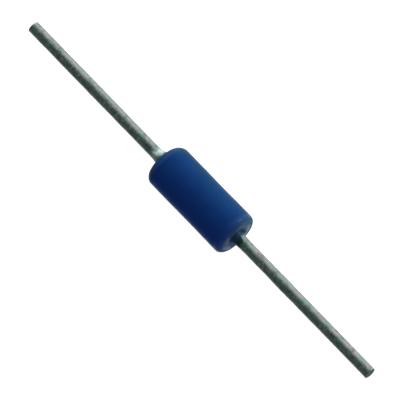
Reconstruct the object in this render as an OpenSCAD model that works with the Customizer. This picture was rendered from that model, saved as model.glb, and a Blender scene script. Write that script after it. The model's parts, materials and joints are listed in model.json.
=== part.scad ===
// Axial-leaded diac in a double-stud glass package.
//
// A glass sleeve is fused on to two studs, which clamp a bare chip between them. Each stud
// carries a butt-welded wire lead, and the sleeve has a coat of opaque blue lacquer.
// Everything but the chip is turned about the X axis. The origin is the middle of the body.
// All sizes are in millimetres.

/* [Body] */
// Length of the glass sleeve, from rim to rim
body_l = 4.5; // [3.6:0.1:5]
// Outer diameter of the glass sleeve, under the lacquer
glass_d = 1.88; // [1.7:0.02:2.1]
// Rounding of the left rim's outer edge
left_rim_round = 0.32; // [0.16:0.02:0.36]
// Rounding of the right rim's outer edge
right_rim_round = 0.22; // [0.16:0.02:0.36]
// Rounding of both rims' inner edge, where the glass runs down to the stud
mouth_round = 0.2; // [0.1:0.02:0.24]

/* [Lacquer] */
// Thickness of the lacquer along the sleeve
coat_t = 0.06; // [0.03:0.01:0.1]
// Thickness of the lacquer where it runs out over a rim
coat_edge_t = 0.012; // [0.01:0.002:0.02]
// How far the lacquer wraps round each rim, in degrees from the side to the crest
coat_wrap = 72; // [45:1:80]

/* [Leads] */
// Diameter of the tinned wire
lead_d = 0.51; // [0.46:0.01:0.56]
// Length of each lead outside the body
lead_l = 8.1; // [6:0.1:38]
// Bevel that the cutter leaves on a lead's tip
tip_bevel = 0.05; // [0.02:0.01:0.1]

/* [Studs] */
// Diameter of the studs, and so of the bore that the glass is fused on to
stud_d = 0.78; // [0.74:0.02:0.86]
// Depth of a stud's outer face below the rim
stud_recess = 0.18; // [0.1:0.02:0.3]
// Bevel round both ends of a stud
stud_bevel = 0.02; // [0.01:0.005:0.03]

/* [Welded ends] */
// Radius of the bead that the butt weld squeezes out round a lead's root
bead_round = 0.1; // [0.07:0.01:0.12]
// Height of the bead's middle above the stud's face
bead_lift = 0.05; // [0.03:0.01:0.06]
// Radial height of the tinned fillet at the stud's face
fillet_h = 0.07; // [0.03:0.01:0.08]
// Length of the fillet, from the stud's face to where it dies out on the lead
fillet_l = 0.75; // [0.4:0.05:1]

/* [Chip] */
// Side of the square chip
chip_w = 0.44; // [0.38:0.02:0.48]
// Thickness of the chip
chip_t = 0.2; // [0.14:0.02:0.26]
// Radius of the moat etched round each contact
moat_r = 0.165; // [0.15:0.005:0.17]
// Width of the round-bottomed moat, and so of the glass ring that fills it
moat_w = 0.07; // [0.04:0.01:0.08]
// Diameter of the silver bump on each face
bump_d = 0.24; // [0.16:0.02:0.24]
// Thickness of a bump
bump_t = 0.04; // [0.02:0.01:0.06]

/* [Hidden] */
$fn = 96;

LEFT = -1;
RIGHT = 1;

glass_r = glass_d / 2;
stud_r = stud_d / 2;
lead_r = lead_d / 2;
half_l = body_l / 2;

// A sleeve's rim keeps a land between its two roundings, so both give way to a thin wall.
glass_wall = glass_r - stud_r;
left_rim_r = min(left_rim_round, 0.62 * glass_wall);
right_rim_r = min(right_rim_round, 0.62 * glass_wall);
mouth_r = min(mouth_round, 0.36 * glass_wall);

// The chip and its two bumps fill the gap between the studs.
stud_in = chip_t / 2 + bump_t;
stud_out = half_l - stud_recess;

// The bead stays on the flat of the stud's face. The fillet is a concave arc that is tangent
// to the lead.
bead_r = min(bead_round, stud_r - stud_bevel - lead_r);
fillet_rise = min(fillet_h, 0.8 * bead_r);
fillet_r = (pow(fillet_rise, 2) + pow(fillet_l, 2)) / (2 * fillet_rise);

// Profiles are drawn with the radius along x and the part's axis along y.
// This turns one about the X axis, with its +y end towards the given side.
module turned(side = RIGHT) {
    rotate([0, side * 90, 0]) rotate_extrude() children();
}

// Mirrors a profile's end to its given side. The +y end is the right one.
module to_end(side) {
    mirror([0, side == LEFT ? 1 : 0]) children();
}

// What a rounding takes off a corner at the origin, whose solid lies towards -x and -y.
module corner_waste(round_r) {
    difference() {
        translate([-round_r, -round_r]) square(2 * round_r);
        translate([-round_r, -round_r]) circle(round_r);
    }
}

// Half section of the sleeve: a straight wall with a fire-polished rim at each end.
module sleeve_section() {
    difference() {
        translate([stud_r, -half_l]) square([glass_wall, body_l]);
        rim_waste(LEFT, left_rim_r);
        rim_waste(RIGHT, right_rim_r);
    }
}

module rim_waste(side, rim_r) {
    to_end(side) {
        translate([glass_r, half_l]) corner_waste(rim_r);
        translate([stud_r, half_l]) mirror([1, 0]) corner_waste(mouth_r);
    }
}

// Half section of the lacquer: even along the sleeve, and thinning as it wraps each rim.
module coat_section() {
    translate([glass_r, left_rim_r - half_l])
        square([coat_t, body_l - left_rim_r - right_rim_r]);
    coat_end(LEFT, left_rim_r);
    coat_end(RIGHT, right_rim_r);
}

// The outer arc's centre lies further out than the rim's, so the lacquer between them tapers.
module coat_end(side, rim_r) {
    reach = 2 * (rim_r + coat_t);
    to_end(side) translate([glass_r - rim_r, half_l - rim_r]) intersection() {
        difference() {
            translate([coat_t - coat_edge_t, 0]) circle(rim_r + coat_edge_t);
            circle(rim_r);
        }
        polygon([[0, 0], [reach, 0], [reach, reach * tan(coat_wrap)]]);
    }
}

// Half section of a lead, from its upset root on the stud's face to the bevelled tip.
module lead_section() {
    tip = half_l + lead_l;
    polygon([
        [0, stud_out],
        [lead_r, stud_out],
        [lead_r, tip - tip_bevel],
        [lead_r - tip_bevel, tip],
        [0, tip]
    ]);
    translate([lead_r, stud_out]) {
        weld_bead();
        tin_fillet();
    }
}

// The bead's round section is centred on the lead's surface and cut by the stud's face.
module weld_bead() {
    intersection() {
        translate([0, bead_lift]) circle(bead_r);
        translate([-bead_r, 0]) square([2 * bead_r, bead_lift + bead_r]);
    }
}

module tin_fillet() {
    difference() {
        square([fillet_rise, fillet_l]);
        translate([fillet_r, fillet_l]) circle(fillet_r, $fn = 720);
    }
}

// Half section of a stud, with both ends' edges broken.
module stud_section() {
    polygon([
        [0, stud_in],
        [stud_r - stud_bevel, stud_in],
        [stud_r, stud_in + stud_bevel],
        [stud_r, stud_out - stud_bevel],
        [stud_r - stud_bevel, stud_out],
        [0, stud_out]
    ]);
}

// Half section of a bump: a disc with a full round edge, pressed between chip and stud.
module bump_section() {
    edge_r = bump_t / 2;
    translate([0, chip_t / 2]) {
        square([bump_d / 2 - edge_r, bump_t]);
        intersection() {
            translate([bump_d / 2 - edge_r, edge_r]) circle(edge_r);
            square([bump_d / 2, bump_t]);
        }
    }
}

module lacquer_coat() {
    color([0.06, 0.17, 0.44]) turned() coat_section();
}

module glass_sleeve() {
    color([0.42, 0.5, 0.6, 0.7]) turned() sleeve_section();
}

module lead(side) {
    color([0.62, 0.65, 0.63]) turned(side) lead_section();
}

module stud(side) {
    color([0.42, 0.24, 0.18]) turned(side) stud_section();
}

module bump(side) {
    color([0.85, 0.86, 0.86]) turned(side) bump_section();
}

// The glass ring that fills a moat, flush with the chip's face.
module moat_glass(side) {
    color([0.75, 0.8, 0.7]) turned(side) translate([moat_r, chip_t / 2]) intersection() {
        circle(moat_w / 2);
        translate([-moat_w / 2, -moat_w / 2]) square([moat_w, moat_w / 2]);
    }
}

// A square chip with a round-bottomed moat in both faces.
module silicon_chip() {
    color([0.3, 0.32, 0.36]) difference() {
        cube([chip_t, chip_w, chip_w], center = true);
        for (side = [LEFT, RIGHT])
            turned(side) translate([moat_r, chip_t / 2]) circle(moat_w / 2);
    }
}

lacquer_coat();
glass_sleeve();
lead(LEFT);  // left_lead
lead(RIGHT);  // right_lead
stud(LEFT);  // left_stud
stud(RIGHT);  // right_stud
bump(LEFT);  // left_bump
bump(RIGHT);  // right_bump
moat_glass(LEFT);  // left_moat_glass
moat_glass(RIGHT);  // right_moat_glass
silicon_chip();
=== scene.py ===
"""Looks of an axial glass diac: lacquered glass body, sealed studs and tinned wire leads.

Metres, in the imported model's frame: the leads run along X and the body's middle is the origin.
An angle round the part starts at +Y and turns towards +Z.
"""
import json
import math

import bpy
import numpy as np
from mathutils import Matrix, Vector


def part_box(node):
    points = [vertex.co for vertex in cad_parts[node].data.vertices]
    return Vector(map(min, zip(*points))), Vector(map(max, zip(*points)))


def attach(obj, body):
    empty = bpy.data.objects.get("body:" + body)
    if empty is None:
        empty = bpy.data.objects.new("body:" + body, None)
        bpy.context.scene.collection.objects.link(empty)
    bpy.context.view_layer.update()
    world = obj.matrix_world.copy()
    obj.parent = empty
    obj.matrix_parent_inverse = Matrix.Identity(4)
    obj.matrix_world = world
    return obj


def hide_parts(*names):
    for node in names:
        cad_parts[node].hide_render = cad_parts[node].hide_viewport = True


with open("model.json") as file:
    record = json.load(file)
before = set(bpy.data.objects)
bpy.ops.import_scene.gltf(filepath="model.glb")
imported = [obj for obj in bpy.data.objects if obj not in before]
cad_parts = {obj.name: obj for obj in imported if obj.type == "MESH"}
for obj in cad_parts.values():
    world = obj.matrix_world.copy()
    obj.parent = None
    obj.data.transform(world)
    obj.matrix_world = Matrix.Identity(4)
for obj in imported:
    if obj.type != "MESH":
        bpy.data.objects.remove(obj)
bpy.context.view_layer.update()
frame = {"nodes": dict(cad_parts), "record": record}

MM = 0.001
TURN = 2 * math.pi
LEFT, RIGHT = -1, 1
BODY = "root"

# ---------------------------------------------------------------- sizes from the frame
HALF_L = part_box("glass_sleeve")[1].x
GLASS_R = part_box("glass_sleeve")[1].z
COAT_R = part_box("lacquer_coat")[1].z
STUD_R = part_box("right_stud")[1].z
STUD_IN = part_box("right_stud")[0].x
STUD_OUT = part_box("right_stud")[1].x
TIP_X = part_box("right_lead")[1].x
BEAD_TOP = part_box("right_lead")[1].z
RIGHT_PIN = next(mount for mount in frame["record"]["mounts"] if mount["name"] == "right_wire")
LEAD_R = RIGHT_PIN["dims"]["r_mm"] * MM

# ---------------------------------------------------------------- sizes that no box gives
# Roundings of the sleeve's rims. The left one is fuller on one side.
RIM_ROUND = {LEFT: 0.32 * MM, RIGHT: 0.22 * MM}
FULLER, FULL_AT = 0.1 * MM, math.radians(15)
MOUTH_ROUND = 0.2 * MM
# How far the glass has flowed in over the studs' faces, and the side where it is most
FLOW, FLOW_AT = 0.05 * MM, math.radians(140)
# The least land between a rim's two roundings
LAND = 0.01 * MM
# Unevenness of a rim's crest, and how far down from the crest it reaches
CREST_WAVE, CREST_DEPTH = 0.006 * MM, 0.25 * MM

# The lacquer: its thickness at the edge, how far it wraps a rim, and how much its edge wavers
COAT_EDGE_T = 0.012 * MM
COAT_WRAP = math.radians(72)
WAVER = math.radians(4.5)
# Slow waves along its side, as height, length of one radian and phase, then its sag and the
# sag's side, and the height and length of its fine peel
WAVE_H, WAVE_L, WAVE_PHASE = 0.006 * MM, 0.55 * MM, 1.9
SAG, SAG_AT = 0.015 * MM, math.radians(196)
PEEL_H, PEEL_L = 0.0022 * MM, 0.9 * MM
# Lacquer and studs bite this far into the glass, so that no light runs between them
BITE = 0.002 * MM

STUD_BEVEL = 0.02 * MM
BEAD_LIFT = 0.05 * MM
FILLET_H = 0.07 * MM
FILLET_L = 0.75 * MM
TIP_BEVEL = 0.05 * MM
BURR = 0.012 * MM
# Tin on the wires: slow lumps, short ridges, and more of it on one side
LUMP_H, LUMP_L = 0.0045 * MM, 1.6 * MM
RIDGE_H, RIDGE_L = 0.002 * MM, 0.35 * MM
TIN_T, TIN_AT = 0.016 * MM, math.radians(15)

# Drops of tin on the left lead: where each starts and ends, measured out from the stud's face,
# its height, the angle where it stands and the angle over which it falls away
DROPS = [
    (0.02 * MM, 0.66 * MM, 0.058 * MM, math.radians(70), math.radians(66)),
    (0.26 * MM, 0.86 * MM, 0.05 * MM, math.radians(122), math.radians(17)),
    (0.02 * MM, 0.66 * MM, 0.035 * MM, math.radians(-90), math.radians(120)),
]

# ---------------------------------------------------------------- fineness and random seeds
# Columns round each piece, and rows along its parts. The lacquer's hidden inner side has only
# every eighth of its outer side's rows.
LACQUER_COLUMNS, SLEEVE_COLUMNS, STUD_COLUMNS, LEAD_COLUMNS = 288, 224, 128, 96
COAT_RIM_ROWS, COAT_SIDE_ROWS, COAT_BORE_STRIDE = 30, 148, 8
RIM_ROWS = 26
DISC_ROWS, ROOT_ROWS, EDGE_ROWS, FACE_ROWS = 8, 90, 8, 12
WIRE_STEP, STUD_STEP = 0.04 * MM, 0.03 * MM
# The rows at a lead's root crowd towards the stud, by this power, and end past the fillet
CROWDING, PAST_FILLET = 1.3, 0.2 * MM
# A flat end closes on a corner at its middle, from a row at this share of its radius
HUB, TIP_HUB = 0.05, 0.06

WAVER_SEED, FRINGE_SEED, PEEL_SEED, CREST_SEED = 11, 31, 5, 41
LEAD_SEED = {LEFT: 61, RIGHT: 71}


# ---------------------------------------------------------------- meshes
def mesh_piece(name, corners, quads, fans=()):
    """A piece from an array of corners, an array of quads and arrays of triangles.

    The signed volume of the faces' cones to the origin says which way they point. If it is
    negative, every face is turned round.
    """
    triangles = np.concatenate([quads[:, [0, 1, 2]], quads[:, [0, 2, 3]], *fans])
    a, b, c = (corners[triangles[:, i]] for i in range(3))
    if np.einsum("ij,ij->", a, np.cross(b, c)) < 0:
        quads = quads[:, ::-1]
        fans = [fan[:, ::-1] for fan in fans]
    mesh = bpy.data.meshes.new(name)
    faces = quads.tolist() + [face for fan in fans for face in fan.tolist()]
    mesh.from_pydata(corners.tolist(), [], faces)
    mesh.shade_smooth()
    mesh.validate()
    piece = bpy.data.objects.new(name, mesh)
    bpy.context.scene.collection.objects.link(piece)
    return piece


def grid_quads(rows, columns, ring=False):
    """The quads between a grid's rows, which close on themselves.

    When ring is true, the last row joins the first one too.
    """
    index = np.arange(rows * columns).reshape(rows, columns)
    beside = np.roll(index, -1, axis=1)
    after, after_beside = np.roll(index, -1, axis=0), np.roll(beside, -1, axis=0)
    quads = np.stack([index, after, after_beside, beside], axis=-1)
    return quads[:rows if ring else rows - 1].reshape(-1, 4)


def fan(first, columns, hub):
    """The triangles from a hub corner to a closed row, which starts at the first corner."""
    row = np.arange(first, first + columns)
    return np.stack([np.full(columns, hub), row, np.roll(row, -1)], axis=-1)


def turned(name, axial, radial, theta, ring=False):
    """A surface turned about X from a grid of profile points by angles.

    A point is (axial, radial * cos(theta), radial * sin(theta)). The profile closes on itself
    when ring is true. Otherwise both its ends lie on the axis, and each is closed by a fan
    round one corner.
    """
    axial, radial = np.broadcast_arrays(axial, radial)
    grid = np.stack([axial, radial * np.cos(theta), radial * np.sin(theta)], axis=-1)
    rows, columns = grid.shape[:2]
    corners = grid.reshape(-1, 3)
    quads = grid_quads(rows, columns, ring)
    if ring:
        return mesh_piece(name, corners, quads)
    hubs = np.array([[axial[0].mean(), 0, 0], [axial[-1].mean(), 0, 0]])
    first, last = len(corners), len(corners) + 1
    fans = [fan(0, columns, first), fan((rows - 1) * columns, columns, last)[:, ::-1]]
    return mesh_piece(name, np.concatenate([corners, hubs]), quads, fans)


def angles(count):
    """Evenly spaced angles round the axis, as one row."""
    return np.linspace(0, TURN, count, endpoint=False)[None, :]


def quarter_turn(count, start=0.0):
    """Evenly spaced angles that end at a right angle, as one column."""
    return np.linspace(start, math.pi / 2, count)[:, None]


def bulge(theta, at):
    """A raised cosine of the angle: 1 where it stands, 0 on the far side."""
    return (1 + np.cos(theta - at)) / 2


def ripple(x, theta, seed, wave, most_lobes, count=24):
    """Smooth unevenness of about -1 to 1 that closes round the axis.

    It is a sum of cosines of (axial wave * x + lobes * theta + phase). The lobes are whole
    numbers. The axial waves are normally spread about 0, by one turn over the given length.
    """
    random = np.random.default_rng(seed)
    total = np.zeros(np.broadcast(x, theta).shape)
    for _ in range(count):
        lobes = random.integers(-most_lobes, most_lobes + 1)
        axial_wave = TURN / wave * random.normal(0, 1)
        total += np.cos(axial_wave * x + lobes * theta + random.uniform(0, TURN))
    return total / math.sqrt(2 * count)


def refined(points, step):
    """Adds evenly spaced points along each stretch of a profile that is longer than a step.

    Returns the profile's axial and radial columns.
    """
    lengths = np.linalg.norm(np.diff(points, axis=0), axis=1)
    along = np.concatenate([[0], np.cumsum(lengths)])
    parts = np.maximum(1, np.ceil(lengths / step).astype(int))
    stretches = zip(along[:-1], along[1:], parts)
    new = np.concatenate([*(np.linspace(*stretch, endpoint=False) for stretch in stretches),
                          along[-1:]])
    return tuple(np.interp(new, along, points[:, i])[:, None] for i in (0, 1))


# ---------------------------------------------------------------- pieces
def waist(x, theta):
    """How far the lacquer's side stands off its mean radius.

    Slow waves grow towards the right end. A sag down one side is the square of a bulge.
    """
    waves = WAVE_H * np.sin(x / WAVE_L - WAVE_PHASE) * (0.6 + 0.4 * np.tanh(x / MM))
    return waves + SAG * bulge(theta, SAG_AT) ** 2


def rim_round(side, theta):
    """A rim's rounding: even at the right end, and fuller on one side of the left end.

    The extra is the square of a bulge.
    """
    return RIM_ROUND[side] + (FULLER if side == LEFT else 0) * bulge(theta, FULL_AT) ** 2


def lacquer():
    """The lacquer coat, as a closed skin over the side of the sleeve and most of both rims.

    Along the side it is a band between the glass and the coat's radius. Round a rim's centre
    it is a polar curve: at an angle from the side, the skin's thickness is that of a circle
    whose centre is shifted outwards, so it thins towards the crest. The angle is a share of
    the wrap, which wavers round the part, and the skin closes in a round lip.
    """
    theta = angles(LACQUER_COLUMNS)
    shift = COAT_R - GLASS_R - COAT_EDGE_T
    share = np.sin(quarter_turn(COAT_RIM_ROWS))

    def end(side):
        rim = rim_round(side, theta)
        waver = ripple(0, theta, WAVER_SEED + side, MM, most_lobes=4, count=9)
        fringe = ripple(0, theta, FRINGE_SEED + side, MM, most_lobes=17)
        angle = share * (COAT_WRAP + WAVER * (waver + 0.4 * fringe))
        bare = rim + COAT_EDGE_T
        reach = shift * np.cos(angle) + np.sqrt(bare**2 - (shift * np.sin(angle)) ** 2)
        lip = np.sqrt(1 - share**16)
        outer = rim + (reach - rim) * lip
        inner = np.broadcast_to(rim - BITE, outer.shape)

        def placed(distance):
            return (side * (HALF_L - rim + distance * np.sin(angle)),
                    GLASS_R - rim + distance * np.cos(angle))
        return placed(outer), placed(inner)

    (left_out, left_in), (right_out, right_in) = end(LEFT), end(RIGHT)
    along = np.linspace(0, 1, COAT_SIDE_ROWS + 2)[1:-1, None]
    side_x = left_out[0][:1] + (right_out[0][:1] - left_out[0][:1]) * along
    outer_x = np.concatenate([left_out[0][::-1], side_x, right_out[0]])
    outer_r = np.concatenate([left_out[1][::-1], np.full_like(side_x, COAT_R), right_out[1]])
    fade = np.clip((outer_r - GLASS_R) / (COAT_R - GLASS_R), 0, 1)
    peel = PEEL_H * ripple(outer_x, theta, PEEL_SEED, PEEL_L, most_lobes=7)
    outer_r = outer_r + fade * (waist(outer_x, theta) + peel)
    bore_x = side_x[::-COAT_BORE_STRIDE]
    bore_r = np.full_like(bore_x, GLASS_R - BITE)
    inner_x = np.concatenate([right_in[0][::-1], bore_x, left_in[0]])
    inner_r = np.concatenate([right_in[1][::-1], bore_r, left_in[1]])
    axial = np.concatenate([outer_x, inner_x[1:-1]])
    radial = np.concatenate([outer_r, inner_r[1:-1]])
    return turned("lacquer_skin", axial, radial, theta, ring=True)


def sleeve():
    """The glass sleeve: a tube whose rims are fire-polished, round outside and in the mouth.

    An outer rounding is a quarter circle. A mouth's is a quarter of an ellipse. Round most of
    the stud it is wider and shallower than a circle, where the glass has flowed in over the
    stud's face to the bead. The flow is a power of a bulge. Where the left rim's outer rounding
    is fuller, its mouth's is smaller, so that a land stays between them. A crest dips by a
    ripple that fades out with the square of the distance from it.
    """
    theta = angles(SLEEVE_COLUMNS)
    flow = FLOW * bulge(theta, FLOW_AT) ** 0.7
    quarter = quarter_turn(RIM_ROWS)
    stud_edge = STUD_OUT - STUD_BEVEL
    axial, radial = [], []
    for side in (RIGHT, LEFT):
        rim = rim_round(side, theta)
        mouth = np.minimum(MOUTH_ROUND, GLASS_R - STUD_R - rim - LAND)
        outer = (side * (HALF_L - rim + rim * np.sin(quarter)),
                 GLASS_R - rim + rim * np.cos(quarter))
        inner = (side * (HALF_L - (mouth - flow) * (1 - np.cos(quarter))),
                 STUD_R + mouth - (mouth + flow) * np.sin(quarter))
        bore = (np.full_like(theta, side * stud_edge), np.full_like(theta, STUD_R))
        inner = tuple(np.concatenate([part, end]) for part, end in zip(inner, bore))
        order = slice(None, None, side)
        ends = (outer, inner) if side == RIGHT else (inner, outer)
        axial += [part[0][order] for part in ends]
        radial += [part[1][order] for part in ends]
    axial, radial = np.concatenate(axial), np.concatenate(radial)
    crest = np.clip((np.abs(axial) - HALF_L + CREST_DEPTH) / CREST_DEPTH, 0, 1) ** 2
    dip = CREST_WAVE * (ripple(0, theta, CREST_SEED, MM, most_lobes=3, count=8) - 1)
    return turned("glass_tube", axial + np.sign(axial) * crest * dip, radial, theta, ring=True)


def stud(side, name):
    """A stud: a plain cylinder with broken edges, slightly larger than the bore it is sealed in.

    Its profile is a line of straight stretches, divided evenly.
    """
    theta = angles(STUD_COLUMNS)
    out_r = STUD_R + BITE
    corners = np.array([
        [STUD_IN, HUB * out_r],
        [STUD_IN, out_r - STUD_BEVEL],
        [STUD_IN + STUD_BEVEL, out_r],
        [STUD_OUT - STUD_BEVEL, out_r],
        [STUD_OUT, out_r - STUD_BEVEL],
        [STUD_OUT, HUB * out_r],
    ])
    axial, radial = refined(corners, STUD_STEP)
    return turned(name, side * axial, radial * np.ones_like(theta), theta)


def lead(side, name, drops=()):
    """A lead: a butt-welded bead, a concave tin fillet, an uneven wire and a sheared tip.

    The fillet's height over the wire falls as the square of the distance to its far end. The
    tin's thickness adds slow lumps and short ridges along the whole wire, and a bulge on one
    side. A drop of tin that set on it is a squared sine along the wire times a bell round it.
    The tip has a rounded bevel, and its face is dished behind a burr.
    """
    theta = angles(LEAD_COLUMNS)
    seed = LEAD_SEED[side]
    bead_r = BEAD_TOP - LEAD_R
    root = np.linspace(0, 1, ROOT_ROWS)[:, None] ** CROWDING * (FILLET_L + PAST_FILLET)
    wire_end = TIP_X - STUD_OUT - TIP_BEVEL
    wire = np.arange(root[-1, 0] + WIRE_STEP, wire_end, WIRE_STEP)[:, None]
    off = np.concatenate([root, wire])
    rise = FILLET_H * np.clip(1 - off / FILLET_L, 0, 1) ** 2
    bead = np.sqrt(np.maximum(0, bead_r**2 - (off - BEAD_LIFT) ** 2))
    radius = LEAD_R + np.maximum(rise, bead)
    lumps = LUMP_H * ripple(off, theta, seed, LUMP_L, most_lobes=2)
    ridges = RIDGE_H * ripple(off, theta, seed + 1, RIDGE_L, most_lobes=6)
    radius = radius + lumps + ridges + TIN_T * bulge(theta, TIN_AT)
    for start, end, height, at, spread in drops:
        share = np.clip((off - start) / (end - start), 0, 1)
        turn = np.angle(np.exp(1j * (theta - at)))
        radius = radius + height * np.sin(math.pi * share) ** 2 * np.exp(-((turn / spread) ** 2))
    body_x = np.broadcast_to(STUD_OUT + off, radius.shape)

    burr = BURR * ripple(0, theta, seed + 2, MM, most_lobes=3, count=6)
    quarter = quarter_turn(EDGE_ROWS, 0.2)
    edge_r = radius[-1:] - TIP_BEVEL * (1 - np.cos(quarter))
    edge_x = TIP_X - TIP_BEVEL + TIP_BEVEL * np.sin(quarter) * np.ones_like(theta)
    face_share = np.linspace(1, TIP_HUB, FACE_ROWS)[1:, None]
    face_r = edge_r[-1:] * face_share
    face_x = edge_x[-1:] - np.abs(burr) * face_share * (1 - face_share) * 2
    disc_r = radius[:1] * np.linspace(HUB, 1, DISC_ROWS)[:-1, None]
    disc_x = np.full_like(disc_r, STUD_OUT)
    axial = np.concatenate([disc_x, body_x, edge_x, face_x])
    radial = np.concatenate([disc_r, radius, edge_r, face_r])
    return turned(name, side * axial, radial, theta)


# ---------------------------------------------------------------- shader maths
class Wire:
    """A shader socket. Python's operators on it add the Math nodes that work them out."""

    def __init__(self, nodes, socket):
        self.nodes, self.socket = nodes, socket

    def _math(self, operation, *values):
        return self.nodes.node("ShaderNodeMath", {"operation": operation}, dict(enumerate(values)))

    def __abs__(self):
        return self._math("ABSOLUTE", self)

    def __add__(self, other):
        return self._math("ADD", self, other)

    def __sub__(self, other):
        return self._math("SUBTRACT", self, other)

    def __rsub__(self, other):
        return self._math("SUBTRACT", other, self)

    def __mul__(self, other):
        return self._math("MULTIPLY", self, other)

    def __pow__(self, other):
        return self._math("POWER", self, other)

    __radd__, __rmul__ = __add__, __mul__

    def step(self, low, high):
        """0 below low, 1 above high, and a smooth rise between."""
        return self.nodes.node(
            "ShaderNodeMapRange", {"interpolation_type": "SMOOTHSTEP"},
            {"Value": self, "From Min": low, "From Max": high},
        )


class Nodes:
    """A node tree whose nodes are written as expressions."""

    def __init__(self, tree):
        self.tree = tree

    def node(self, kind, settings=None, inputs=None, output=0):
        """Adds a node: first its settings, then its inputs as values or links."""
        made = self.tree.nodes.new(kind)
        for key, value in (settings or {}).items():
            setattr(made, key, value)
        for key, value in (inputs or {}).items():
            if isinstance(value, Wire):
                self.tree.links.new(value.socket, made.inputs[key])
            else:
                made.inputs[key].default_value = value
        return Wire(self, made.outputs[output]) if made.outputs else None

    def vector(self, operation, *values, output=0, **named):
        """A vector, or its value, from one Vector Math node."""
        inputs = {**dict(enumerate(values)), **named}
        return self.node("ShaderNodeVectorMath", {"operation": operation}, inputs, output)

    def mix(self, share, first, second):
        """A colour between two others."""
        return self.node("ShaderNodeMix", {"data_type": "RGBA"}, {0: share, 6: first, 7: second}, 2)


class Finish(Nodes):
    """One material, whose places are in millimetres of the piece."""

    def __init__(self, name):
        self.material = bpy.data.materials.new(name)
        self.material.use_nodes = True
        super().__init__(self.material.node_tree)
        self.tree.nodes.clear()
        place = self.node("ShaderNodeTexCoord", output="Object")
        self.mm = self.vector("SCALE", place, Scale=1 / MM)
        self.x, self.y, self.z = (
            self.node("ShaderNodeSeparateXYZ", {}, {0: self.mm}, output) for output in "XYZ"
        )
        self.off_axis = (self.y * self.y + self.z * self.z) ** 0.5

    def stretched(self, along):
        """Places with the X axis scaled, so that a pattern runs along X."""
        return self.vector("MULTIPLY", self.mm, (along, 1.0, 1.0))

    def shifted(self, *by):
        """Places moved away, so that two patterns of one kind differ."""
        return self.vector("ADD", self.mm, by)

    def noise(self, scale, detail=3.0, roughness=0.5, place=None):
        """Smooth noise of about 0.2 to 0.8."""
        inputs = {"Vector": place or self.mm, "Scale": scale, "Detail": detail,
                  "Roughness": roughness}
        return self.node("ShaderNodeTexNoise", {}, inputs, "Fac")

    def cells(self, scale):
        """The distance to the nearest of many scattered points."""
        inputs = {"Vector": self.mm, "Scale": scale}
        return self.node("ShaderNodeTexVoronoi", {"feature": "F1"}, inputs, "Distance")

    def bump(self, height, depth_mm, under=None):
        """A normal from a height of 0 to 1 that stands for the depth."""
        inputs = {"Height": height, "Distance": depth_mm * MM, "Strength": 1.0}
        if under is not None:
            inputs["Normal"] = under
        return self.node("ShaderNodeBump", {}, inputs)

    def surface(self, **sockets):
        """Ends the material in one shader. A socket's name is written with underscores."""
        inputs = {name.replace("_", " "): value for name, value in sockets.items()}
        shader = self.node("ShaderNodeBsdfPrincipled", {}, inputs)
        self.node("ShaderNodeOutputMaterial", {}, {"Surface": shader})
        return self.material


def rgb(red, green, blue):
    """An opaque colour of linear values."""
    return (red, green, blue, 1.0)


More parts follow.
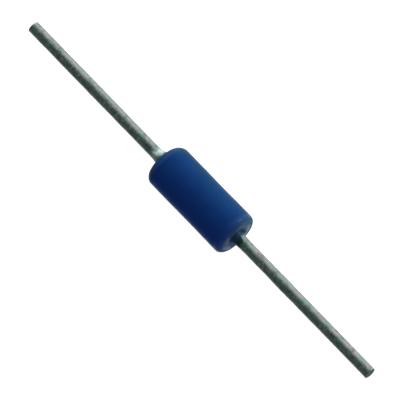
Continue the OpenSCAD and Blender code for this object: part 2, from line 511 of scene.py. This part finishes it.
# ---------------------------------------------------------------- materials
# The steps' limits are places in millimetres, or shares of a noise. A rim's crest is at 2.25
# along X, the glass's side at a radius of 0.94 and a stud's edge at 0.39.
def blue_lacquer():
    """Opaque satin blue, faintly mottled. Most of its colour changes by side are painted light.

    It is bluer on the shaded -Y side and greener on the lit +Y side as a painted sheen. A painted
    teal sheen lies over the ends and the left shoulder, and painted shade lies over the +Y side and
    along the left rim. It lets the pale glass show as it thins out, painted paler on the +Y side,
    and its run-out on the right is glossy.
    """
    coat = Finish("blue_lacquer")
    x, y = coat.x, coat.y
    cloud = coat.noise(1.5, 3.0, 0.55)
    teal = coat.noise(1.7, 3.0, 0.55, coat.shifted(7.0, 3.0, 1.0))
    grain = coat.noise(26.0, 3.0, 0.6)
    edge = coat.noise(4.5, 4.0, 0.65) - 0.5

    # Where the coat thins out, and the bands and sides where its colour changes. Most of these
    # changes are painted shade and sheen.
    right_thin = (1 - (coat.off_axis + edge * 0.25).step(0.8, 1.0)) * x.step(0.0, 2.0)
    left_thin_shade = 1 - (x + edge * 0.06).step(-2.17, -2.06)
    shoulder = x.step(-2.09, -2.02) * (1 - x.step(-1.97, -1.87)) * (1 - y.step(0.0, 0.4))
    left_under = (1 - x.step(-2.15, -1.75)) * (1 - y.step(-0.9, -0.5))
    ends = 1 - x.step(-2.1, -1.5) + x.step(1.95, 2.2)
    # A painted shade over the +Y side, stronger towards the left
    plus_y_shade = y.step(0.35, 0.75) * (0.5 - x.step(-1.0, 1.0) * 0.25)

    # Painted shading and sheen: brighter blue on the shaded -Y side, duller and greener on the lit
    # +Y side
    colour = coat.mix(y.step(-0.9, -0.2), rgb(0.023, 0.098, 0.60), rgb(0.016, 0.082, 0.40))
    colour = coat.mix(y.step(-0.25, 0.6), colour, rgb(0.016, 0.108, 0.36))
    colour = coat.mix(cloud.step(0.3, 0.72) * 0.5, colour, rgb(0.020, 0.110, 0.52))
    colour = coat.mix(teal.step(0.45, 0.8) * 0.3, colour, rgb(0.012, 0.150, 0.36))
    colour = coat.mix(plus_y_shade, colour, rgb(0.018, 0.116, 0.20))
    # A painted teal sheen over the ends on their +Y side
    colour = coat.mix(ends * y.step(0.0, 0.6) * 0.7, colour, rgb(0.035, 0.17, 0.33))
    colour = coat.mix(left_under * 0.7, colour, rgb(0.06, 0.12, 0.29))
    # A painted sheen on the left shoulder's crest
    colour = coat.mix(shoulder * 0.8, colour, rgb(0.045, 0.14, 0.46))
    # The coat's thinning left rim, darkened as a painted shadow of the root
    colour = coat.mix(left_thin_shade * 0.85, colour, rgb(0.018, 0.095, 0.14))
    # The thin run-out shows the pale glass, and is painted darker on the -Y side and paler on the
    # lit +Y side
    run_out_and_painted_light = coat.mix(y.step(0.0, 0.45), rgb(0.045, 0.105, 0.27), rgb(0.12, 0.33, 0.52))
    colour = coat.mix(right_thin, colour, run_out_and_painted_light)

    peel = coat.bump(coat.noise(5.5, 2.0, 0.45), 0.004)
    return coat.surface(
        Base_Color=colour,
        Roughness=0.22 + grain * 0.1,
        Specular_IOR_Level=0.05,
        Coat_Weight=x.step(1.85, 2.05) * 0.6,
        Coat_Roughness=0.23,
        Normal=coat.bump(grain, 0.0009, under=peel),
    )


# The middle of a painted shadow on the rims, beside the mouth, in millimetres off the axis
PAINTED_SHADOW_Y, PAINTED_SHADOW_Z = 0.41, -0.22


def rim_glass():
    """Sealing glass, dark blue-grey in the mouth over the dark studs and as painted shade of the
    recess, and paler where it laps over the studs, partly as painted light on the gap's shade.

    The rims are milky with seeds. Underneath, the crest and its seeds are painted pale as a glow of
    light through the glass, the lit +Y side is painted paler, and a painted shadow lies on one side
    of the mouth.
    """
    glass = Finish("rim_glass")
    y, z = glass.y, glass.z
    cloud = glass.noise(6.0, 4.0, 0.65)
    seeds = 1 - glass.cells(14.0).step(0.08, 0.3)
    radius = glass.off_axis + (cloud - 0.5) * 0.3
    milky = radius.step(0.24, 0.38)
    crest = radius.step(0.43, 0.67)
    mouth = milky * (1 - radius.step(0.45, 0.62))
    off_side = y + 0.1
    under = 1 - (z - y * 0.28 + (cloud - 0.5) * 0.5).step(-0.3, 0.3)
    uneven = under * (off_side * off_side).step(0.015, 0.1)
    # A painted shadow beside the mouth
    off_painted_shadow = ((y - PAINTED_SHADOW_Y) ** 2 + (z - PAINTED_SHADOW_Z) ** 2) ** 0.5
    painted_shadow = 1 - off_painted_shadow.step(0.05, 0.18)

    # Paler and greener on the lit +Y side, a painted light
    body = glass.mix(y.step(-0.2, 0.4), rgb(0.075, 0.18, 0.44), rgb(0.12, 0.31, 0.52))
    # Dark in the mouth: the dark studs under the glass, and painted shade of the recess
    colour = glass.mix(milky, rgb(0.04, 0.085, 0.17), body)
    # Underneath, the crest and its seeds are painted pale as a glow of light through the glass
    colour = glass.mix(crest * uneven, colour, rgb(0.74, 0.86, 0.98))
    colour = glass.mix(seeds * milky * uneven * 0.4, colour, rgb(0.80, 0.88, 0.98))
    # A paler band in the mouth, partly painted light that lifts the gap's shade
    colour = glass.mix(mouth * 0.5, colour, rgb(0.28, 0.46, 0.72))
    colour = glass.mix(painted_shadow * 0.6, colour, rgb(0.03, 0.06, 0.11))
    return glass.surface(
        Base_Color=colour,
        Roughness=0.12 + cloud * 0.1,
        Transmission_Weight=0.06,
        Specular_IOR_Level=0.3,
        IOR=1.5,
        Normal=glass.bump(glass.noise(3.5, 3.0, 0.5), 0.012),
    )


# A painted highlight: a pale green streak beside the drops, in millimetres: its middle, and its
# reach along and across
PAINTED_STREAK = (-2.65, -0.135, 0.265)
PAINTED_STREAK_REACH = (0.19, 0.075, 0.075)


def tinned_wire():
    """Dull hot-dipped tin: green-grey and grey patches, dark blotches and a pale crust.

    It is frosted round the left root and painted near white there as a highlight, most on its +Y
    side. A pale green streak beside the drops is a painted highlight. Both roots are dark next to
    the glass: oxidised tin, with painted shade and a painted blue reflection of the rim. The
    cut faces at the tips show the copper inside, smeared over with tin.
    """
    wire = Finish("tinned_wire")
    x, y = wire.x, wire.y
    blotch = wire.noise(6.5, 4.0, 0.6, wire.stretched(0.8))
    tint = wire.noise(3.5, 3.0, 0.6, wire.shifted(3.0, 9.0, 5.0))
    crust = wire.noise(7.5, 3.0, 0.6, wire.shifted(8.0, 1.0, 4.0)).step(0.5, 0.75)
    fine = wire.noise(34.0, 3.0, 0.65)

    right = x.step(-1.0, 1.0)
    off_middle = abs(x)
    # Dark roots next to the glass: oxidised tin with painted shade of the recess, reaching further
    # on the right root and its -Y side
    reach = right * (0.3 - y.step(-0.08, 0.1) * 0.27)
    oxide_and_shade = 1 - (off_middle - reach + (blotch - 0.5) * 0.3).step(2.32, 2.48)
    # Frosted tin round the left root, painted near white as a highlight, most on its +Y side
    frosted = (x + y * 0.3).step(-2.81, -2.52) * (1 - right)
    frost_and_highlight = frosted * (0.4 + y.step(-0.22, 0.0) * 0.6)
    # A painted highlight: a pale green streak beside the drops
    off_painted_streak = wire.vector("DIVIDE", wire.vector("SUBTRACT", wire.mm, PAINTED_STREAK), PAINTED_STREAK_REACH)
    distance = wire.vector("LENGTH", off_painted_streak, output="Value")
    painted_streak = 1 - (distance + (blotch - 0.5) * 0.8).step(0.6, 1.3)
    cut = off_middle.step(TIP_X / MM - 0.025, TIP_X / MM - 0.01)

    colour = wire.mix(tint.step(0.36, 0.64), rgb(0.43, 0.62, 0.54), rgb(0.70, 0.63, 0.64))
    colour = wire.mix(blotch.step(0.48, 0.66) * 0.8, colour, rgb(0.27, 0.33, 0.30))
    pale = wire.mix(tint.step(0.4, 0.6), rgb(0.66, 0.88, 0.77), rgb(0.90, 0.80, 0.80))
    colour = wire.mix(crust * 0.75, colour, pale)
    colour = wire.mix(frost_and_highlight, colour, rgb(0.86, 0.96, 0.97))
    colour = wire.mix(painted_streak, colour, rgb(0.78, 1.0, 0.88))
    # The roots' colour: a painted blue reflection of the rim next to the glass, then dark green
    # painted shade over oxidised tin
    scale = wire.mix(off_middle.step(2.3, 2.6), rgb(0.06, 0.13, 0.24), rgb(0.05, 0.11, 0.09))
    colour = wire.mix(oxide_and_shade, colour, scale)
    colour = wire.mix(cut * (1 - tint * 0.4), colour, rgb(0.44, 0.29, 0.20))
    return wire.surface(
        Base_Color=colour,
        Metallic=1 - oxide_and_shade * 0.6 - crust * 0.75 - painted_streak * 0.7,
        Roughness=0.24 + crust * 0.1 + fine * 0.04 + frost_and_highlight * 0.32,
        Normal=wire.bump(fine, 0.0012, under=wire.bump(blotch, 0.008)),
    )


def stud_metal():
    """Copper-sheathed stud, oxidised dark on its open face."""
    sheath = Finish("stud_metal")
    x = sheath.x
    cloud = sheath.noise(4.0, 3.0, 0.6)
    face_x = STUD_OUT / MM
    open_face = (x * x).step((face_x - 0.08) ** 2, (face_x - 0.01) ** 2)
    copper = sheath.mix(cloud, rgb(0.34, 0.14, 0.09), rgb(0.48, 0.22, 0.14))
    return sheath.surface(
        Base_Color=sheath.mix(open_face, copper, rgb(0.03, 0.035, 0.035)),
        Metallic=0.8,
        Roughness=0.4 + cloud * 0.2,
        Normal=sheath.bump(sheath.noise(14.0), 0.004),
    )


def silver():
    """Electroplated silver, matte and faintly nodular."""
    plate = Finish("silver")
    grain = plate.noise(40.0, 2.0, 0.6)
    return plate.surface(
        Base_Color=plate.mix(grain, rgb(0.74, 0.73, 0.70), rgb(0.9, 0.89, 0.87)),
        Metallic=1.0,
        Roughness=0.35 + grain * 0.15,
        Normal=plate.bump(grain, 0.002),
    )


def moat_glass():
    """Fired passivation glass, milky green with fine bubbles."""
    ring = Finish("moat_glass")
    bubbles = 1 - ring.cells(45.0).step(0.1, 0.35)
    return ring.surface(
        Base_Color=ring.mix(bubbles * 0.6, rgb(0.52, 0.6, 0.5), rgb(0.78, 0.82, 0.74)),
        Roughness=0.12 + bubbles * 0.1,
        Normal=ring.bump(bubbles, 0.001),
    )


def silicon():
    """Etched silicon, dark blue-grey with a sawn grain on its sides."""
    chip = Finish("silicon")
    saw = chip.noise(30.0, 3.0, 0.6, chip.stretched(0.2))
    return chip.surface(
        Base_Color=chip.mix(saw, rgb(0.09, 0.10, 0.12), rgb(0.16, 0.17, 0.2)),
        Metallic=0.4,
        Roughness=0.22 + saw * 0.2,
        Normal=chip.bump(saw, 0.0015),
    )


# ---------------------------------------------------------------- assembly
def dress(piece, material, slot, *nodes):
    """Gives a new piece its material and body, and lets it stand for its nodes. Its slot is not
    used.
    """
    piece.data.materials.append(material)
    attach(piece, BODY)
    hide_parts(*nodes)


def repaint(node, material):
    """Gives a CAD node its material."""
    mesh = frame["nodes"][node].data
    mesh.materials.clear()
    mesh.materials.append(material)


tin, copper_stud = tinned_wire(), stud_metal()
dress(lacquer(), blue_lacquer(), "lacquer", "lacquer_coat")
dress(sleeve(), rim_glass(), "sleeve_glass", "glass_sleeve")
dress(lead(LEFT, "left_wire", DROPS), tin, "tinned_wire", "left_lead")
dress(lead(RIGHT, "right_wire"), tin, "tinned_wire", "right_lead")
dress(stud(LEFT, "left_plug"), copper_stud, "stud_metal", "left_stud")
dress(stud(RIGHT, "right_plug"), copper_stud, "stud_metal", "right_stud")
silver_plate, ring_glass = silver(), moat_glass()
for side_name in ("left", "right"):
    repaint(f"{side_name}_bump", silver_plate)
    repaint(f"{side_name}_moat_glass", ring_glass)
repaint("silicon_chip", silicon())


# ---------------------------------------------------------------- studio
FLOOR_Z = -COAT_R
FLOOR_REACH, FLOOR_CURVE, WALL_RISE = 3.0, 1.0, 2.5
FLOOR_GLOW = 1.06


def studio_floor():
    """A pale floor that curves up into a round wall: a quarter circle joins the two."""
    theta = angles(96)
    bend = np.linspace(0, math.pi / 2, 16)
    bend_out = FLOOR_REACH - FLOOR_CURVE + FLOOR_CURVE * np.sin(bend)
    bend_up = FLOOR_CURVE - FLOOR_CURVE * np.cos(bend)
    out = np.concatenate([[0.02, 0.5, 1.2], bend_out, [FLOOR_REACH]])[:, None]
    up = np.concatenate([[0, 0, 0], bend_up, [WALL_RISE]])[:, None]
    height = FLOOR_Z + up * np.ones_like(theta)
    grid = np.stack([out * np.cos(theta), out * np.sin(theta), height], axis=-1)
    rows, columns = grid.shape[:2]
    corners = np.concatenate([grid.reshape(-1, 3), [[0, 0, FLOOR_Z]]])
    quads = grid_quads(rows, columns)
    floor = mesh_piece("studio_floor", corners, quads, [fan(0, columns, rows * columns)])
    paint = Finish("pale_floor")
    white = paint.mix(paint.noise(0.004, 2.0), rgb(0.88, 0.88, 0.88), rgb(0.9, 0.9, 0.9))
    floor.data.materials.append(paint.surface(
        Base_Color=white,
        Roughness=0.9,
        Emission_Color=white,
        Emission_Strength=FLOOR_GLOW,
    ))
    floor.visible_glossy = floor.visible_diffuse = False
    floor.visible_transmission = floor.visible_shadow = False


# The room's light runs from dim, all round one direction, to bright on its far side. A bluish
# shade lies low on the right, and a window of whiter light stands to the left. Each is given
# by its direction and by the cosines of the angles from it where it begins and is full.
BRIGHT_LIGHT, DIM_LIGHT = rgb(0.56, 0.59, 0.585), rgb(0.061, 0.084, 0.081)
DIM_TOWARD, DIM_EDGE, DIM_FULL = (0.05, -0.905, 0.422), -0.53, 0.75
SHADE_LIGHT = rgb(0.16, 0.20, 0.27)
SHADE_TOWARD, SHADE_EDGE, SHADE_FULL = (0.8, 0.1, -0.6), 0.34, 0.8
WINDOW_LIGHT = rgb(1.35, 1.45, 1.42)
WINDOW_TOWARD, WINDOW_EDGE, WINDOW_FULL = (-0.78, 0.56, 0.2), 0.84, 0.95


def studio_light():
    """A room with a dim side, a bright side, a low shade and a wide window."""
    world = bpy.data.worlds.new("studio")
    bpy.context.scene.world = world
    world.use_nodes = True
    room = Nodes(world.node_tree)
    direction = room.node("ShaderNodeTexCoord", output="Generated")

    def share(toward, edge, full):
        toward = tuple(Vector(toward).normalized())
        return room.vector("DOT_PRODUCT", direction, toward, output="Value").step(edge, full)

    light = room.mix(share(DIM_TOWARD, DIM_EDGE, DIM_FULL), BRIGHT_LIGHT, DIM_LIGHT)
    light = room.mix(share(SHADE_TOWARD, SHADE_EDGE, SHADE_FULL), light, SHADE_LIGHT)
    light = room.mix(share(WINDOW_TOWARD, WINDOW_EDGE, WINDOW_FULL), light, WINDOW_LIGHT)
    room.tree.links.new(light.socket, room.tree.nodes["Background"].inputs["Color"])


# A small lamp, as the direction from the part, its distance, its width and its power
LAMP_TOWARD = (0.14, 0.78, 0.61)
LAMP_AWAY, LAMP_WIDTH, LAMP_POWER = 0.6, 0.1, 0.26
LAMP_COLOUR = (0.7, 0.88, 1.0)


def shoulder_lamp():
    """A small square lamp that faces the part and puts a glint on its right shoulder."""
    lamp = bpy.data.lights.new("shoulder_lamp", "AREA")
    lamp.size, lamp.energy, lamp.color = LAMP_WIDTH, LAMP_POWER, LAMP_COLOUR
    stand = bpy.data.objects.new("shoulder_lamp", lamp)
    away = Vector(LAMP_TOWARD).normalized()
    stand.location = away * LAMP_AWAY
    stand.rotation_mode = "QUATERNION"
    stand.rotation_quaternion = away.to_track_quat("Z", "Y")
    bpy.context.scene.collection.objects.link(stand)


# Where the camera stands, round the part and above it, then the width and scale of its square
# frame, and where the body's middle lies in that frame
AZIMUTH, ELEVATION = math.radians(48.2), math.radians(67.1)
FRAME_PX = 400
PX_PER_MM = 24.45
MIDDLE_PX = (200.2, 198.9)
CAMERA_AWAY = 0.4
SENSOR_WIDTH = 36


def studio_camera():
    """A long lens looking down on the part, so that its frame is as wide as the pixels say."""
    data = bpy.data.cameras.new("camera")
    camera = bpy.data.objects.new("camera", data)
    bpy.context.scene.collection.objects.link(camera)
    bpy.context.scene.camera = camera
    back = Vector((math.sin(AZIMUTH) * math.cos(ELEVATION),
                   -math.cos(AZIMUTH) * math.cos(ELEVATION), math.sin(ELEVATION)))
    across = Vector((math.cos(AZIMUTH), math.sin(AZIMUTH), 0))
    up = back.cross(across)
    px = MM / PX_PER_MM
    centre = across * (FRAME_PX / 2 - MIDDLE_PX[0]) * px + up * (MIDDLE_PX[1] - FRAME_PX / 2) * px
    camera.location = centre + back * CAMERA_AWAY
    camera.rotation_mode = "QUATERNION"
    camera.rotation_quaternion = (-back).to_track_quat("-Z", "Y")
    data.sensor_width = SENSOR_WIDTH
    data.lens = SENSOR_WIDTH * CAMERA_AWAY / (FRAME_PX * px)
    data.clip_start, data.clip_end = 0.01, 20
    bpy.context.scene.view_settings.view_transform = "Standard"


studio_floor()
studio_light()
shoulder_lamp()
studio_camera()
